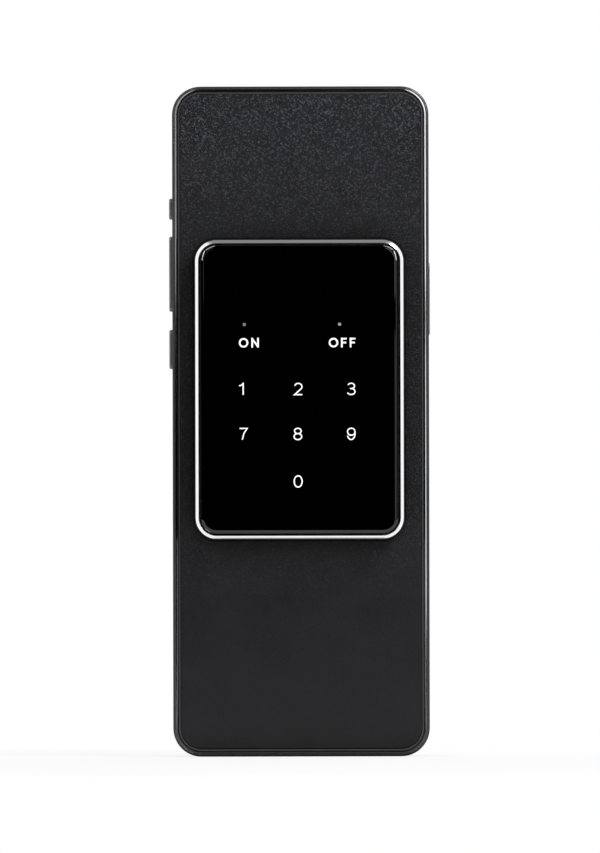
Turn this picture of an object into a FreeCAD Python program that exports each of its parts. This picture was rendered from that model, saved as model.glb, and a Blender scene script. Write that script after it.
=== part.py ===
import FreeCAD, Part
import math
import os

from FreeCAD import Vector

# Touch keypad panel for an alarm, hung on a wall bracket. Millimetres.
# X points right, Y points into the wall and Z points up, seen by someone who faces the panel.
# The origin is the middle of the bracket's four screw holes, on the wall's face.
# A depth is a distance out from the wall's face, so a point at depth d has y = -d.

# Case, from the outside in
case_width = 76.0
case_height = 198.5
case_corner_radius = 8.4
frame_wall = 1.3
frame_edge_radius = 0.7
frame_lip = 0.1  # how far the frame's front edge stands past the leatherette
trim_width = 0.5
trim_height = 0.6
trim_bevel = 0.3
ledge_width = 1.9
ledge_thickness = 1.0
groove_width = 0.45  # dark gap between the trim ring and the front plate
plate_rim = 0.4
plate_thickness = 1.3
skin_thickness = 0.7
skin_gap = 0.2  # gap between the leatherette and the keypad housing

# Rear cover and wall bracket
wall_gap = 0.5  # gap between the wall and the cover's back
cover_flange = 2.0
cover_floor = 1.8
cover_edge_radius = 0.8
cover_step = 0.15  # how far the cover's edge lies inside the frame's side
cover_fit = 0.1
recess_wall = 2.1  # between the bracket's recess and the screw wells beside it
bracket_height = 150.0
bracket_thickness = 3.0
bracket_corner_radius = 4.0
bracket_gap = 0.4
wall_hole_radius = 2.25
wall_hole_spacing_x = 30.0
wall_hole_spacing_z = 120.0
countersink_radius = 4.15
countersink_wall = 1.1  # straight part of each wall screw hole
lift_travel = 8.0
hook_inset = 6.0
hook_spacing_z = 96.0
hook_width = 8.0
hook_stem_height = 2.5
hook_lip_height = 3.5
hook_thickness = 1.5
hook_gap = 0.3
hook_rest_gap = 0.2  # between a hook's stem and the top of its slot

# Screws that hold the case together
cover_screw_radius = 1.25
cover_screw_length = 8.0
cover_screw_head_radius = 2.3
cover_screw_head = 1.6
cover_screw_sink = 0.4  # how far the head lies under the cover's back
cover_boss_radius = 2.5
cover_boss_inset = 7.0
cover_boss_drop = 13.2
screw_clearance = 0.05
head_clearance = 0.2
driver_radius = 0.7
driver_depth = 0.8

# Keypad module
keypad_width = 61.7
keypad_height = 88.5
keypad_corner_radius = 6.3
keypad_x = -0.4
keypad_z = 9.5
bezel_face = 1.1
bezel_height = 3.0
bezel_land = 0.15  # flat part of the bezel's face, inside its slope
bezel_slope_height = 0.8
bezel_ledge = 1.9  # ledge that the glass lies on
housing_lip = 0.2  # how far the housing stands out past the bezel
housing_floor = 1.6
glass_gap = 0.5
glass_thickness = 1.8
glass_bevel_width = 0.9
glass_bevel_height = 0.35
glass_proud = 0.1
stack_gap = 0.2  # between the bezel's ledge and the parts behind the glass
touch_sensor_thickness = 0.8
light_guide_thickness = 1.6
keypad_board_thickness = 1.2
keypad_standoff = 0.9
seal_inset = 1.5
seal_width = 1.2
seal_thickness = 0.6
keypad_screw_spacing_x = 48.0
keypad_screw_spacing_z = 74.0
small_screw_radius = 1.0
small_screw_head_radius = 1.9
small_screw_head = 1.3
small_boss_radius = 2.4
keypad_screw_bite = 2.0  # length of screw in the keypad housing
blind_wall = 0.3

# Legends on the glass, measured from the middle of the case
digit_column_middle = -0.9
digit_column_pitch = 16.0
digit_row_heights = (9.7, -3.5, -17.8)
word_places = ((-15.3, 23.3), (12.3, 23.3))
dot_places = ((-16.7, 28.7), (11.5, 28.7))
led_length = 1.6
led_width = 0.8
led_height = 0.6
led_pocket_gap = 0.3
touch_chip_side = 5.0
touch_chip_height = 0.8

# Ribbons, sockets and leads
ribbon_width = 12.0
ribbon_thickness = 0.2
ribbon_bend = 0.8
ribbon_rise = 5.0  # height between the two ends of the keypad's ribbon
ribbon_straight = 0.9
ribbon_window_gap = 1.0
socket_length = 16.0
socket_height = 3.6
socket_thickness = 1.4
charge_ribbon_width = 6.0
charge_socket_length = 9.0
lead_radius = 0.4
lead_spacing = 2.0
lead_overlap = 2.0  # how far a lead lies over its board
antenna_lead_bend = 1.4
side_flex_width = 9.0

# Main board and what is on it
main_board_thickness = 1.2
main_board_standoff = 3.1
board_gap = 0.5
board_corner_radius = 1.5
main_boss_inset = 3.2
board_screw_bite = 2.2
processor_side = 9.0
processor_height = 1.0
processor_inset = 11.5
radio_width = 15.0
radio_length = 20.0
radio_height = 2.0
radio_inset = 6.5
power_chip_side = 5.0
power_chip_height = 0.9
inductor_radius = 3.0
inductor_height = 1.9
power_row = 18.0  # how far above the board's lower edge the power parts are

# Battery
battery_side_gap = 3.5
battery_screw_gap = 3.55  # below the keypad's lower screws
battery_thickness = 4.8
battery_corner_radius = 2.5
battery_pad_thickness = 0.5
battery_pad_inset = 2.0
battery_pad_ribbon_gap = 3.0  # between each pad and the charging ribbon
battery_space = 0.5  # room between the hooks and the battery
battery_board_gap = 8.0
battery_socket_length = 8.0
battery_socket_height = 4.0
battery_socket_thickness = 2.0
battery_socket_x = -14.0

# Charging socket
port_width = 8.9
port_height = 3.2
port_length = 7.3
port_wall = 0.3
port_window_gap = 0.25
port_set_back = 0.3
port_tongue_width = 6.2
port_tongue_thickness = 0.7
port_tongue_length = 4.6
port_back_wall = 1.2
port_flat = 0.05  # what the rounded ends leave flat on each side
charge_board_width = 24.0
charge_board_height = 9.0
charge_board_thickness = 1.0
charge_board_edge_gap = 1.0
charge_standoff = 2.3
charge_boss_spacing = 17.0
charge_boss_drop = 2.6
charge_screw_radius = 0.8
charge_screw_head_radius = 1.6
charge_screw_head = 1.0
charge_boss_radius = 1.9
charge_board_battery_gap = 3.0

# Sounder and its slots in the rear cover
sounder_radius = 11.0
sounder_thickness = 4.5
sounder_edge_gap = 1.5
sounder_board_gap = 2.5
sound_slot_width = 1.2
sound_slot_length = 12.0
sound_slot_pitch = 3.0
sound_slot_count = 3

# Antenna
antenna_sounder_gap = 3.0
antenna_height = 7.0
antenna_thickness = 0.8
antenna_drop = 15.0

# Side buttons. A drop is measured from the top of the case to the middle of the button.
button_depth = 8.7
button_width = 3.0
button_flat = 0.1  # what the rounded ends leave flat on each side
button_gap = 0.15
button_flange_lip = 0.6
button_flange_thickness = 0.8
button_rest_gap = 0.15
left_button_proud = 0.95
left_button_travel = 0.5
left_button_edge_radius = 0.55
right_button_proud = 0.3
right_button_travel = 0.3
right_button_edge_radius = 0.25
left_upper_drop = 36.2
left_upper_length = 6.3
left_middle_drop = 55.5
left_middle_length = 22.3
left_lower_drop = 77.8
left_lower_length = 11.7
right_button_drop = 63.0
right_button_length = 21.3
stem_radius = 0.8
stem_clearance = 0.1
stem_reach = 0.7  # how far a stem reaches into its switch at rest
switch_width = 4.6
switch_height = 4.6
switch_wall = 0.5
press_gap = 0.3
side_board_thickness = 0.8
side_board_depth_width = 6.6
side_board_end = 5.0

# Tamper switch, whose plunger feels the wall
tamper_inset = 8.0  # in from the main board's edge
tamper_drop = 11.5
tamper_reach = 1.2  # how far the free plunger stands past the wall's face
tamper_travel = 1.5
tamper_pin_radius = 2.0
tamper_pin_clearance = 0.1
tamper_tip_radius = 0.6
tamper_flange_radius = 3.2
tamper_flange_thickness = 0.8
tamper_stem_radius = 1.2
tamper_stem_reach = 0.2
tamper_switch_side = 7.0
tamper_switch_skin = 0.9
spring_wire_radius = 0.18
spring_radius = 2.2
spring_turns = 4
spring_end_gap = 0.05

# Depths that follow from these sizes, out from the wall
floor_back = bracket_thickness + bracket_gap
floor_front = floor_back + cover_floor
flange_front = wall_gap + cover_flange
hook_back = floor_front + hook_gap
hook_front = hook_back + hook_thickness
battery_back = hook_front + battery_space
battery_front = battery_back + battery_thickness
plate_back = battery_front + battery_pad_thickness
plate_front = plate_back + plate_thickness
skin_front = plate_front + skin_thickness
frame_front = skin_front + frame_lip
tamper_cavity = tamper_stem_reach + tamper_travel + press_gap
tamper_open = plate_back - tamper_switch_skin - tamper_cavity
tamper_flange_back = floor_front + hook_gap
tamper_flange_front = tamper_flange_back + tamper_flange_thickness
main_board_front = plate_back - main_board_standoff
main_board_back = main_board_front - main_board_thickness
charge_board_front = plate_back - charge_standoff
charge_board_back = charge_board_front - charge_board_thickness
port_depth = charge_board_back - port_height / 2
housing_floor_front = plate_front + housing_floor
keypad_board_back = housing_floor_front + keypad_standoff
keypad_board_front = keypad_board_back + keypad_board_thickness
light_guide_front = keypad_board_front + light_guide_thickness
sensor_front = light_guide_front + touch_sensor_thickness
glass_front = sensor_front + glass_thickness
bezel_front = glass_front - glass_proud
bezel_back = bezel_front - bezel_height


def corners(spacing_x, spacing_z, middle=(0.0, 0.0)):
    """Places of the four corners of a rectangle."""
    x, z = middle
    return [(x + side * spacing_x / 2, z + level * spacing_z / 2) for side in (-1, 1) for level in (-1, 1)]


# Places that follow from these sizes, across and up
case_side = case_width / 2
case_top = case_height / 2
plate_inset = frame_wall + groove_width
ledge_inset = frame_wall + ledge_width
cover_boss_x = case_side - cover_boss_inset
cover_boss_z = case_top - cover_boss_drop
cover_boss_places = corners(2 * cover_boss_x, 2 * cover_boss_z)
cover_boss_places += [(-cover_boss_x, 0.0), (cover_boss_x, 0.0)]
recess_half_width = cover_boss_x - cover_screw_head_radius - head_clearance - recess_wall
bracket_width = 2 * (recess_half_width - bracket_gap)
recess_top = bracket_height / 2 + bracket_gap
recess_bottom = -bracket_height / 2 - lift_travel - bracket_gap
hook_places = corners(bracket_width - 2 * hook_inset, hook_spacing_z)
keypad_middle = (keypad_x, keypad_z)
keypad_screw_places = corners(keypad_screw_spacing_x, keypad_screw_spacing_z, keypad_middle)
stack_inset = bezel_face + bezel_ledge + stack_gap
digit_places = [
    (digit_column_middle + column * digit_column_pitch, row)
    for row in digit_row_heights[:2]
    for column in (-1, 0, 1)
] + [(digit_column_middle, digit_row_heights[2])]
sounder_z = case_top - ledge_inset - sounder_edge_gap - sounder_radius
charge_board_bottom = -case_top + frame_wall + charge_board_edge_gap
charge_board_top = charge_board_bottom + charge_board_height
charge_boss_z = charge_board_top - charge_boss_drop
charge_boss_places = [(side * charge_boss_spacing / 2, charge_boss_z) for side in (-1, 1)]
battery_bottom = charge_board_top + charge_board_battery_gap
battery_top = keypad_z - keypad_screw_spacing_z / 2 - small_screw_head_radius - battery_screw_gap
battery_z = (battery_bottom + battery_top) / 2
battery_width = 2 * (cover_boss_x - cover_boss_radius - battery_side_gap)
battery_height = battery_top - battery_bottom
battery_pad_inner = charge_ribbon_width / 2 + battery_pad_ribbon_gap
battery_pad_width = battery_width / 2 - battery_pad_inset - battery_pad_inner
main_board_bottom = battery_top + battery_board_gap
main_board_top = sounder_z - sounder_radius - sounder_board_gap
main_board_z = (main_board_bottom + main_board_top) / 2
main_board_height = main_board_top - main_board_bottom
main_board_side = cover_boss_x - cover_boss_radius - board_gap
processor_x = processor_inset + processor_side / 2 - main_board_side
radio_x = main_board_side - radio_inset - radio_width / 2
main_boss_places = corners(
    2 * (main_board_side - main_boss_inset), main_board_height - 2 * main_boss_inset, (0.0, main_board_z)
)
tamper_x = tamper_inset - main_board_side
tamper_z = case_top - tamper_drop
antenna_width = main_board_side - sounder_radius - antenna_sounder_gap
antenna_x = main_board_side - antenna_width / 2
antenna_z = case_top - antenna_drop
ribbon_x = keypad_x
ribbon_low_z = keypad_z - ribbon_rise / 2
ribbon_high_z = keypad_z + ribbon_rise / 2
flange_outer_x = case_side - frame_wall - button_rest_gap
flange_inner_x = flange_outer_x - button_flange_thickness


def outline(width, height, radius, depth, middle=(0.0, 0.0)):
    """Rounded rectangle that faces the wall, as a closed wire at one depth."""
    x, z = middle
    half_x = width / 2 - radius
    half_z = height / 2 - radius
    edges = []
    for quarter in range(4):
        start = quarter * math.pi / 2
        sign_x = 1 if quarter in (0, 3) else -1
        sign_z = 1 if quarter in (0, 1) else -1
        centre = Vector(x + sign_x * half_x, -depth, z + sign_z * half_z)
        angles = (start, start + math.pi / 4, start + math.pi / 2)
        arc = [centre + radius * Vector(math.cos(angle), 0, math.sin(angle)) for angle in angles]
        if edges:
            edges.append(Part.LineSegment(last, arc[0]).toShape())
        else:
            first = arc[0]
        edges.append(Part.Arc(*arc).toShape())
        last = arc[2]
    edges.append(Part.LineSegment(last, first).toShape())
    return Part.Wire(edges)


def slab(width, height, radius, back, front, middle=(0.0, 0.0)):
    """Rounded plate between two depths."""
    face = Part.Face(outline(width, height, radius, back, middle))
    return face.extrude(Vector(0, back - front, 0))


def case_slab(inset, back, front):
    """Plate with the case's outline, drawn in by an inset."""
    return slab(
        case_width - 2 * inset, case_height - 2 * inset, case_corner_radius - inset, back, front
    )


def keypad_slab(inset, back, front):
    """Plate with the bezel's outline, drawn in by an inset."""
    return slab(
        keypad_width - 2 * inset,
        keypad_height - 2 * inset,
        keypad_corner_radius - inset,
        back,
        front,
        keypad_middle,
    )


def bevel(width, height, radius, back, front, inset, middle=(0.0, 0.0)):
    """Plate whose front outline is drawn in by an inset, with sloping sides."""
    wires = [
        outline(width, height, radius, back, middle),
        outline(width - 2 * inset, height - 2 * inset, radius - inset, front, middle),
    ]
    return Part.makeLoft(wires, True, True)


def post(x, z, radius, back, front):
    """Round rod that points out from the wall."""
    return Part.makeCylinder(radius, front - back, Vector(x, -back, z), Vector(0, -1, 0))


def block(width, height, back, front, x, z):
    """Square-cornered block with its middle at x and z."""
    return Part.makeBox(width, front - back, height, Vector(x - width / 2, -front, z - height / 2))


def join(shapes):
    """One clean solid from shapes that touch."""
    return shapes[0].fuse(shapes[1:]).removeSplitter()


def edges_at(shape, depth, test):
    """Edges at one depth whose middles pass a test."""
    picked = []
    for edge in shape.Edges:
        box = edge.BoundBox
        flat = abs(box.YMin + depth) < 0.001 and abs(box.YMax + depth) < 0.001
        middle = edge.valueAt((edge.FirstParameter + edge.LastParameter) / 2)
        if flat and test(middle):
            picked.append(edge)
    return picked


def on_outline(width, height, radius, middle=(0.0, 0.0)):
    """Test for points on or outside a rounded rectangle."""
    corner = radius * (1 - math.sqrt(0.5))

    def test(point):
        past_side = abs(point.x - middle[0]) - width / 2 + 0.01
        past_end = abs(point.z - middle[1]) - height / 2 + 0.01
        return max(past_side, past_end) > 0 or min(past_side, past_end) > -corner

    return test


def rounded_path(points, radius):
    """Wire through points, with each inner corner rounded by a tangent arc."""
    edges = []
    last = points[0]
    for before, corner, after in zip(points, points[1:], points[2:]):
        back = (before - corner).normalize()
        ahead = (after - corner).normalize()
        half_angle = back.getAngle(ahead) / 2
        start = corner + back * (radius / math.tan(half_angle))
        end = corner + ahead * (radius / math.tan(half_angle))
        inward = (back + ahead).normalize()
        middle = corner + inward * (radius / math.sin(half_angle) - radius)
        edges.append(Part.LineSegment(last, start).toShape())
        edges.append(Part.Arc(start, middle, end).toShape())
        last = end
    edges.append(Part.LineSegment(last, points[-1]).toShape())
    return Part.Wire(edges)


def ribbon(points, width, thickness, radius):
    """Flat cable through points in an upright plane. Its first run points up or away from the wall."""
    path = rounded_path(points, radius)
    ahead = (points[1] - points[0]).normalize()
    across = Vector(width / 2, 0, 0)
    through = ahead.cross(Vector(1, 0, 0)) * (thickness / 2)
    ends = [points[0] + across + through, points[0] - across + through]
    ends += [points[0] - across - through, points[0] + across - through]
    profile = Part.makePolygon(ends + ends[:1])
    return path.makePipeShell([profile], True, True)


def lead(points, radius, bend):
    """Round wire through points."""
    path = rounded_path(points, bend)
    ahead = (points[1] - points[0]).normalize()
    profile = Part.Wire(Part.makeCircle(radius, points[0], ahead))
    return path.makePipeShell([profile], True, True)


def pan_screw(x, z, seat, head_height, head_radius, radius, length):
    """Screw driven away from the wall: its head lies on the wall's side of the seat."""
    head = post(x, z, head_radius, seat - head_height, seat)
    shank = post(x, z, radius, seat, seat + length)
    recess = post(x, z, driver_radius, seat - head_height, seat - head_height + driver_depth)
    return join([head, shank]).cut(recess)


# Case


def frame():
    band = case_slab(0.0, flange_front, frame_front)
    edges = edges_at(band, frame_front, on_outline(case_width, case_height, case_corner_radius))
    band = band.makeFillet(min(frame_edge_radius, frame_wall - trim_width - 0.05), edges)
    band = band.cut(case_slab(frame_wall, flange_front, plate_back - ledge_thickness))
    band = band.cut(case_slab(ledge_inset, plate_back - ledge_thickness, plate_back))
    band = band.cut(case_slab(frame_wall, plate_back, frame_front))
    band = band.cut(case_slab(frame_wall - trim_width, frame_front - trim_height, frame_front))
    for side, drop, length in buttons_on_both_sides():
        band = band.cut(button_window(side, drop, length))
    return band.cut(port_window())


def buttons_on_both_sides():
    """Side, drop and length of each button, with -1 for the left side."""
    return (
        (-1, left_upper_drop, left_upper_length),
        (-1, left_middle_drop, left_middle_length),
        (-1, left_lower_drop, left_lower_length),
        (1, right_button_drop, right_button_length),
    )


def side_pill(side, drop, length, width, inner, outer):
    """Bar with rounded ends through the case's side, between two distances from the middle."""
    z = case_top - drop
    bar = Part.makeBox(
        outer - inner, width, length, Vector(inner, -button_depth - width / 2, z - length / 2)
    )
    edges = [edge for edge in bar.Edges if edge.BoundBox.XLength > 0.9 * (outer - inner)]
    bar = bar.makeFillet(width / 2 - button_flat, edges)
    return bar if side > 0 else bar.mirror(Vector(0, 0, 0), Vector(1, 0, 0))


def button_window(side, drop, length):
    return side_pill(
        side,
        drop,
        length + 2 * button_gap,
        button_width + 2 * button_gap,
        case_side - 2 * frame_wall,
        case_side + frame_wall,
    )


def port_bar(width, height, bottom, top):
    """Bar with fully rounded ends, standing on the charging socket's axis."""
    back = port_depth - height / 2
    bar = block(width, top - bottom, back, back + height, 0, (bottom + top) / 2)
    edges = [edge for edge in bar.Edges if edge.BoundBox.ZLength > 0.9 * (top - bottom)]
    return bar.makeFillet(height / 2 - port_flat, edges)


def port_window():
    width = port_width + 2 * port_window_gap
    height = port_height + 2 * port_window_gap
    z = -case_top + frame_wall / 2
    return port_bar(width, height, z - frame_wall, z + frame_wall)


def trim_ring():
    back = frame_front - trim_height
    ring = case_slab(frame_wall - trim_width, back, frame_front)
    ring = ring.cut(case_slab(frame_wall, back, frame_front))
    slope = bevel(
        case_width - 2 * frame_wall,
        case_height - 2 * frame_wall,
        case_corner_radius - frame_wall,
        frame_front - trim_bevel,
        frame_front,
        -trim_bevel,
    )
    return ring.cut(slope)


def front_plate():
    plate = case_slab(plate_inset, plate_back, skin_front)
    plate = plate.cut(case_slab(plate_inset + plate_rim, plate_front, skin_front))
    bosses = [post(x, z, cover_boss_radius, floor_front, plate_back) for x, z in cover_boss_places]
    bosses += [post(x, z, small_boss_radius, main_board_front, plate_back) for x, z in main_boss_places]
    for x, z in charge_boss_places:
        bosses.append(post(x, z, charge_boss_radius, charge_board_front, plate_back))
    plate = join([plate] + bosses)
    cover_tip = cover_screw_seat() + cover_screw_length + blind_wall
    for x, z in cover_boss_places:
        plate = plate.cut(post(x, z, cover_screw_radius + screw_clearance, floor_front, cover_tip))
    for x, z in main_boss_places:
        tip = main_board_front + board_screw_bite + blind_wall
        plate = plate.cut(post(x, z, small_screw_radius + screw_clearance, main_board_front, tip))
    for x, z in charge_boss_places:
        tip = charge_board_front + charge_standoff
        plate = plate.cut(post(x, z, charge_screw_radius + screw_clearance, charge_board_front, tip))
    for x, z in keypad_screw_places:
        plate = plate.cut(post(x, z, small_screw_radius + screw_clearance, plate_back, plate_front))
    return plate.cut(ribbon_window(plate_back, plate_front))


def ribbon_window(back, front):
    """Hole for the keypad's ribbon and the socket at its upper end."""
    height = ribbon_rise + socket_height + 2 * ribbon_window_gap
    return block(socket_length + 2 * ribbon_window_gap, height, back, front, ribbon_x, keypad_z)


def leatherette_skin():
    skin = case_slab(plate_inset + plate_rim, plate_front, skin_front)
    return skin.cut(keypad_slab(-housing_lip - skin_gap, plate_front, skin_front))


def cover_screw_seat():
    """Depth of the face that the rear cover's screw heads press on."""
    return wall_gap + cover_screw_sink + cover_screw_head


def rear_cover():
    flange = case_slab(cover_step, wall_gap, flange_front)
    width = case_width - 2 * cover_step
    rim = on_outline(width, case_height - 2 * cover_step, case_corner_radius - cover_step)
    flange = flange.makeFillet(cover_edge_radius, edges_at(flange, wall_gap, rim))
    cover = join([flange, case_slab(frame_wall + cover_fit, flange_front, floor_front)])
    recess_z = (recess_top + recess_bottom) / 2
    cover = cover.cut(
        slab(
            2 * recess_half_width,
            recess_top - recess_bottom,
            bracket_corner_radius + bracket_gap,
            wall_gap,
            floor_back,
            (0.0, recess_z),
        )
    )
    for x, z in hook_places:
        top = z + hook_stem_height / 2 + hook_rest_gap
        bottom = z - hook_stem_height / 2 - lift_travel - hook_gap
        cover = cover.cut(
            block(hook_width + 2 * hook_gap, top - bottom, floor_back, floor_front, x, (top + bottom) / 2)
        )
    for x, z in cover_boss_places:
        seat = cover_screw_seat()
        cover = cover.cut(post(x, z, cover_screw_head_radius + head_clearance, wall_gap, seat))
        cover = cover.cut(post(x, z, cover_screw_radius + screw_clearance, seat, floor_front))
    for number in range(sound_slot_count):
        z = sounder_z + (number - (sound_slot_count - 1) / 2) * sound_slot_pitch
        cover = cover.cut(block(sound_slot_length, sound_slot_width, wall_gap, floor_front, 0, z))
    hole_radius = tamper_pin_radius + tamper_pin_clearance
    return cover.cut(post(tamper_x, tamper_z, hole_radius, wall_gap, floor_front))


def rear_cover_screws():
    return [
        pan_screw(
            x,
            z,
            cover_screw_seat(),
            cover_screw_head,
            cover_screw_head_radius,
            cover_screw_radius,
            cover_screw_length,
        )
        for x, z in cover_boss_places
    ]


# Wall bracket


def wall_bracket():
    plate = slab(bracket_width, bracket_height, bracket_corner_radius, 0.0, bracket_thickness)
    hooks = []
    for x, z in hook_places:
        hooks.append(block(hook_width, hook_stem_height, bracket_thickness, hook_front, x, z))
        lip_height = hook_stem_height + hook_lip_height
        lip_z = z - hook_stem_height / 2 + lip_height / 2
        hooks.append(block(hook_width, lip_height, hook_back, hook_front, x, lip_z))
    bracket = join([plate] + hooks)
    for x, z in corners(wall_hole_spacing_x, wall_hole_spacing_z):
        bracket = bracket.cut(post(x, z, wall_hole_radius, 0.0, bracket_thickness))
        cone = Part.makeCone(
            wall_hole_radius,
            countersink_radius,
            bracket_thickness - countersink_wall,
            Vector(x, -countersink_wall, z),
            Vector(0, -1, 0),
        )
        bracket = bracket.cut(cone)
    return bracket


# Keypad module


def keypad_housing():
    shell = keypad_slab(-housing_lip, plate_front, bezel_back)
    shell = shell.cut(keypad_slab(bezel_face + glass_gap, housing_floor_front, bezel_back))
    bosses = []
    for x, z in keypad_screw_places:
        bosses.append(post(x, z, small_boss_radius, housing_floor_front, keypad_board_back))
    shell = join([shell] + bosses)
    for x, z in keypad_screw_places:
        tip = plate_front + keypad_screw_bite + blind_wall / 2
        shell = shell.cut(post(x, z, small_screw_radius + screw_clearance, plate_front, tip))
    shell = shell.cut(ribbon_window(plate_front, housing_floor_front))
    return shell.cut(keypad_seal())


def keypad_seal():
    outer = seal_inset - housing_lip
    ring = keypad_slab(outer, plate_front, plate_front + seal_thickness)
    return ring.cut(keypad_slab(outer + seal_width, plate_front, plate_front + seal_thickness))


def keypad_screws():
    return [
        pan_screw(
            x,
            z,
            plate_back,
            small_screw_head,
            small_screw_head_radius,
            small_screw_radius,
            plate_thickness + keypad_screw_bite,
        )
        for x, z in keypad_screw_places
    ]


def keypad_bezel():
    shoulder = bezel_front - bezel_slope_height
    slope = bevel(
        keypad_width,
        keypad_height,
        keypad_corner_radius,
        shoulder,
        bezel_front,
        bezel_face - bezel_land,
        keypad_middle,
    )
    ring = join([keypad_slab(0.0, bezel_back, shoulder), slope])
    ring = ring.cut(keypad_slab(bezel_face + bezel_ledge, bezel_back, sensor_front))
    return ring.cut(keypad_slab(bezel_face, sensor_front, bezel_front))


def keypad_glass():
    inset = bezel_face + glass_gap
    edge = glass_front - glass_bevel_height
    crown = bevel(
        keypad_width - 2 * inset,
        keypad_height - 2 * inset,
        keypad_corner_radius - inset,
        edge,
        glass_front,
        glass_bevel_width,
        keypad_middle,
    )
    return join([keypad_slab(inset, sensor_front, edge), crown])


def touch_sensor():
    return keypad_slab(stack_inset, light_guide_front, sensor_front)


def light_guide():
    guide = keypad_slab(stack_inset, keypad_board_front, light_guide_front)
    for x, z in digit_places + list(word_places) + list(dot_places):
        guide = guide.cut(
            block(
                led_length + 2 * led_pocket_gap,
                led_width + 2 * led_pocket_gap,
                keypad_board_front,
                keypad_board_front + led_height + led_pocket_gap,
                x,
                z,
            )
        )
    return guide


def keypad_board():
    return keypad_slab(stack_inset, keypad_board_back, keypad_board_front)


def leds(places):
    front = keypad_board_front + led_height
    return [block(led_length, led_width, keypad_board_front, front, x, z) for x, z in places]


def touch_controller():
    z = keypad_z - keypad_screw_spacing_z / 4
    back = keypad_board_back - touch_chip_height
    return block(touch_chip_side, touch_chip_side, back, keypad_board_back, keypad_x, z)


def ribbon_socket(length, back, x, z):
    return block(length, socket_height, back, back + socket_thickness, x, z)


def keypad_ribbon_sockets():
    return [
        ribbon_socket(socket_length, keypad_board_back - socket_thickness, ribbon_x, ribbon_high_z),
        ribbon_socket(socket_length, main_board_front, ribbon_x, ribbon_low_z),
    ]


def keypad_ribbon():
    start = main_board_front + socket_thickness
    end = keypad_board_back - socket_thickness
    points = [
        Vector(ribbon_x, -start, ribbon_low_z),
        Vector(ribbon_x, -start - ribbon_straight, ribbon_low_z),
        Vector(ribbon_x, -end + ribbon_straight, ribbon_high_z),
        Vector(ribbon_x, -end, ribbon_high_z),
    ]
    return ribbon(points, ribbon_width, ribbon_thickness, ribbon_bend)


# Main board


def main_board():
    board = slab(
        2 * main_board_side,
        main_board_height,
        board_corner_radius,
        main_board_back,
        main_board_front,
        (0.0, main_board_z),
    )
    hole_radius = small_screw_radius + screw_clearance
    for x, z in main_boss_places:
        board = board.cut(post(x, z, hole_radius, main_board_back, main_board_front))
    return board


def main_board_screws():
    return [
        pan_screw(
            x,
            z,
            main_board_back,
            small_screw_head,
            small_screw_head_radius,
            small_screw_radius,
            main_board_thickness + board_screw_bite,
        )
        for x, z in main_boss_places
    ]


def processor():
    back = main_board_back - processor_height
    return block(processor_side, processor_side, back, main_board_back, processor_x, main_board_z)


def radio_module():
    back = main_board_back - radio_height
    return block(radio_width, radio_length, back, main_board_back, radio_x, main_board_z)


def power_chip():
    back = main_board_back - power_chip_height
    z = main_board_bottom + power_row
    return block(power_chip_side, power_chip_side, back, main_board_back, processor_x, z)


def inductor():
    x = processor_x + power_chip_side + inductor_radius
    z = main_board_bottom + power_row
    return post(x, z, inductor_radius, main_board_back - inductor_height, main_board_back)


def antenna():
    back = plate_back - antenna_thickness
    return block(antenna_width, antenna_height, back, plate_back, antenna_x, antenna_z)


def antenna_lead():
    start = plate_back - antenna_thickness / 2
    end = main_board_front + lead_radius
    top = antenna_z - antenna_height / 2
    low = main_board_top
    points = [
        Vector(antenna_x, -start, top),
        Vector(antenna_x, -start, top - ribbon_straight),
        Vector(antenna_x, -end, low + ribbon_straight),
        Vector(antenna_x, -end, low - lead_overlap),
    ]
    return lead(points, lead_radius, antenna_lead_bend)


def sounder():
    return post(0, sounder_z, sounder_radius, plate_back - sounder_thickness, plate_back)


def straight_leads(x, bottom, top, depth):
    """Two straight wires side by side, pointing up."""
    places = [x - lead_spacing / 2, x + lead_spacing / 2]
    return [Part.makeCylinder(lead_radius, top - bottom, Vector(place, -depth, bottom)) for place in places]


def sounder_lead():
    side = math.sqrt(sounder_radius**2 - (lead_spacing / 2 + lead_radius) ** 2)
    depth = main_board_front + lead_radius
    return straight_leads(0, main_board_top - lead_overlap, sounder_z - side - board_gap / 2, depth)


# Battery and charging


def battery():
    return slab(
        battery_width, battery_height, battery_corner_radius, battery_back, battery_front, (0.0, battery_z)
    )


def battery_pads():
    height = battery_height - 2 * battery_pad_inset
    x = battery_pad_inner + battery_pad_width / 2
    pad = block(battery_pad_width, height, battery_front, plate_back, x, battery_z)
    return [pad, pad.mirror(Vector(0, 0, 0), Vector(1, 0, 0))]


def battery_socket():
    z = main_board_bottom + battery_socket_height / 2
    front = main_board_front + battery_socket_thickness
    return block(battery_socket_length, battery_socket_height, main_board_front, front, battery_socket_x, z)


def battery_lead():
    depth = main_board_front + battery_socket_thickness / 2
    return straight_leads(battery_socket_x, battery_top, main_board_bottom, depth)


def charging_board():
    z = (charge_board_bottom + charge_board_top) / 2
    board = block(charge_board_width, charge_board_height, charge_board_back, charge_board_front, 0, z)
    hole_radius = charge_screw_radius + screw_clearance
    for x, z in charge_boss_places:
        board = board.cut(post(x, z, hole_radius, charge_board_back, charge_board_front))
    return board


def charging_board_screws():
    return [
        pan_screw(
            x,
            z,
            charge_board_back,
            charge_screw_head,
            charge_screw_head_radius,
            charge_screw_radius,
            charge_board_thickness + charge_standoff - blind_wall,
        )
        for x, z in charge_boss_places
    ]


def charging_socket():
    mouth = -case_top + port_set_back
    end = mouth + port_length
    shell = port_bar(port_width, port_height, mouth, end)
    root = end - port_back_wall
    shell = shell.cut(port_bar(port_width - 2 * port_wall, port_height - 2 * port_wall, mouth, root))
    tongue = block(
        port_tongue_width,
        port_tongue_length,
        port_depth - port_tongue_thickness / 2,
        port_depth + port_tongue_thickness / 2,
        0,
        root - port_tongue_length / 2,
    )
    return join([shell, tongue])


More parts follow.
